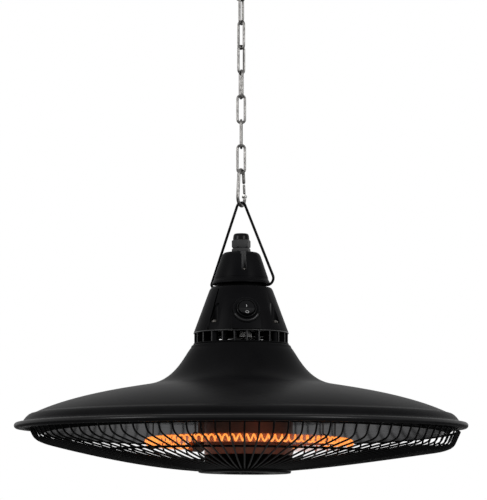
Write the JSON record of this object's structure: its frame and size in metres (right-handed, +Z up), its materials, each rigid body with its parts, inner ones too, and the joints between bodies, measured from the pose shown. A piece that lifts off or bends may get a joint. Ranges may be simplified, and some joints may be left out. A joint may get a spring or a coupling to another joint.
{
  "type": "hanging patio heater",
  "caption": "Hanging electric patio heater: a round shade with a glowing ring element behind a wire guard, hung by a wire bail and a link chain.",
  "frame": {"origin": "centre of the ceiling plate's top face", "axes": "+Z up, out of the ceiling plate's top face; -Y to the front, where the switch is"},
  "size_m": [0.5396, 0.5396, 0.5995],
  "materials": {
    "black_paint": "satin",
    "black_plastic": "matte",
    "gloss_plastic": "gloss",
    "black_wire": "satin",
    "zinc_steel": "satin",
    "bright_steel": "polished",
    "satin_aluminium": "satin",
    "hub_steel": "satin",
    "ceramic": "matte",
    "hot_quartz": "glowing",
    "hot_wire": "glowing",
    "rubber": "matte"
  },
  "bodies": {
    "ceiling": {"ceiling_plate": "black_paint", "ceiling_hook": "zinc_steel", "ceiling_screw_1": "zinc_steel", "ceiling_screw_2": "zinc_steel"},
    "link_1": {"chain_link_1": "zinc_steel"},
    "link_2": {"chain_link_2": "zinc_steel"},
    "link_3": {"chain_link_3": "zinc_steel"},
    "link_4": {"chain_link_4": "zinc_steel"},
    "link_5": {"chain_link_5": "zinc_steel"},
    "link_6": {"chain_link_6": "zinc_steel"},
    "link_7": {"chain_link_7": "zinc_steel"},
    "hook": {"snap_hook": "zinc_steel", "gate_rivet": "bright_steel"},
    "gate": {"snap_gate": "zinc_steel"},
    "hanger": {"bail": "black_wire"},
    "lamp": {"neck_ring": "zinc_steel", "cap": "black_plastic", "cap_screw_1": "zinc_steel", "cap_screw_2": "zinc_steel", "gland_body": "black_plastic", "gland_nut": "black_plastic", "gland_seal": "rubber", "gland_lock_nut": "black_plastic", "cone_housing": "black_plastic", "housing_screw_1": "zinc_steel", "housing_screw_2": "zinc_steel", "housing_screw_3": "zinc_steel", "housing_screw_4": "zinc_steel", "switch_body": "black_plastic", "switch_bezel": "gloss_plastic", "vent_ring": "black_plastic", "shade": "black_paint", "clamp_plate": "zinc_steel", "shade_strap": "zinc_steel", "centre_rod": "zinc_steel", "rod_nut_upper": "bright_steel", "rod_nut_lower": "bright_steel", "spacer_tube": "zinc_steel", "reflector": "satin_aluminium", "rim_skirt": "black_paint", "hub_can": "hub_steel", "hub_base": "black_paint", "quartz_tube": "hot_quartz", "heating_coil": "hot_wire", "ceramic_end_left": "ceramic", "ceramic_end_right": "ceramic", "tube_bracket_1": "zinc_steel", "tube_bracket_2": "zinc_steel", "tube_bracket_3": "zinc_steel", "tube_bracket_4": "zinc_steel", "guard_cage": "black_wire", "guard_rim_hoop": "black_wire", "guard_middle_hoop": "black_wire", "guard_nut": "zinc_steel", "guard_clip_1": "zinc_steel", "guard_clip_2": "zinc_steel", "guard_clip_3": "zinc_steel", "guard_clip_4": "zinc_steel"},
    "rocker": {"switch_rocker": "gloss_plastic"}
  },
  "joints": [
    {"name": "link_1_swing", "type": "hinge", "parent": "ceiling", "child": "link_1", "pos_m": [0, 0, -0.024], "axis": [0.8387, -0.5446, 0], "range_deg": [-60, 60]},
    {"name": "link_2_swing", "type": "hinge", "parent": "link_1", "child": "link_2", "pos_m": [0, 0, -0.05405], "axis": [0.5446, 0.8387, 0], "range_deg": [-60, 60]},
    {"name": "link_3_swing", "type": "hinge", "parent": "link_2", "child": "link_3", "pos_m": [0, 0, -0.08455], "axis": [-0.6428, 0.766, 0], "range_deg": [-60, 60]},
    {"name": "link_4_swing", "type": "hinge", "parent": "link_3", "child": "link_4", "pos_m": [0, 0, -0.11505], "axis": [-0.829, -0.5592, 0], "range_deg": [-35, 35]},
    {"name": "link_5_swing", "type": "hinge", "parent": "link_4", "child": "link_5", "pos_m": [0, 0, -0.14555], "axis": [0.225, -0.9744, 0], "range_deg": [-40, 40]},
    {"name": "link_6_swing", "type": "hinge", "parent": "link_5", "child": "link_6", "pos_m": [0, 0, -0.17605], "axis": [-0.9925, 0.1219, 0], "range_deg": [-60, 60]},
    {"name": "link_7_swing", "type": "hinge", "parent": "link_6", "child": "link_7", "pos_m": [0, 0, -0.20655], "axis": [0.2079, 0.9781, 0], "range_deg": [-60, 60]},
    {"name": "hook_swing", "type": "hinge", "parent": "link_7", "child": "hook", "pos_m": [0, 0, -0.23705], "axis": [0.9925, -0.1219, 0], "range_deg": [-12, 12]},
    {"name": "gate_open", "type": "hinge", "parent": "hook", "child": "gate", "pos_m": [0.00501, 0.00834, -0.2649], "axis": [0.8572, -0.515, 0], "range_deg": [0, 25], "stiffness_Nm_per_rad": 0.05, "springref_deg": -11.46},
    {"name": "bail_swing", "type": "hinge", "parent": "hook", "child": "hanger", "pos_m": [0, 0, -0.2772], "axis": [-0.515, -0.8572, 0], "range_deg": [-50, 50]},
    {"name": "lamp_tilt", "type": "hinge", "parent": "hanger", "child": "lamp", "pos_m": [0, 0, -0.3743], "axis": [-0.848, 0.5299, 0], "range_deg": [-60, 60]},
    {"name": "rocker_press", "type": "hinge", "parent": "lamp", "child": "rocker", "pos_m": [0, -0.05222, -0.40567], "axis": [1, 0, 0], "range_deg": [0, 24]}
  ]
}
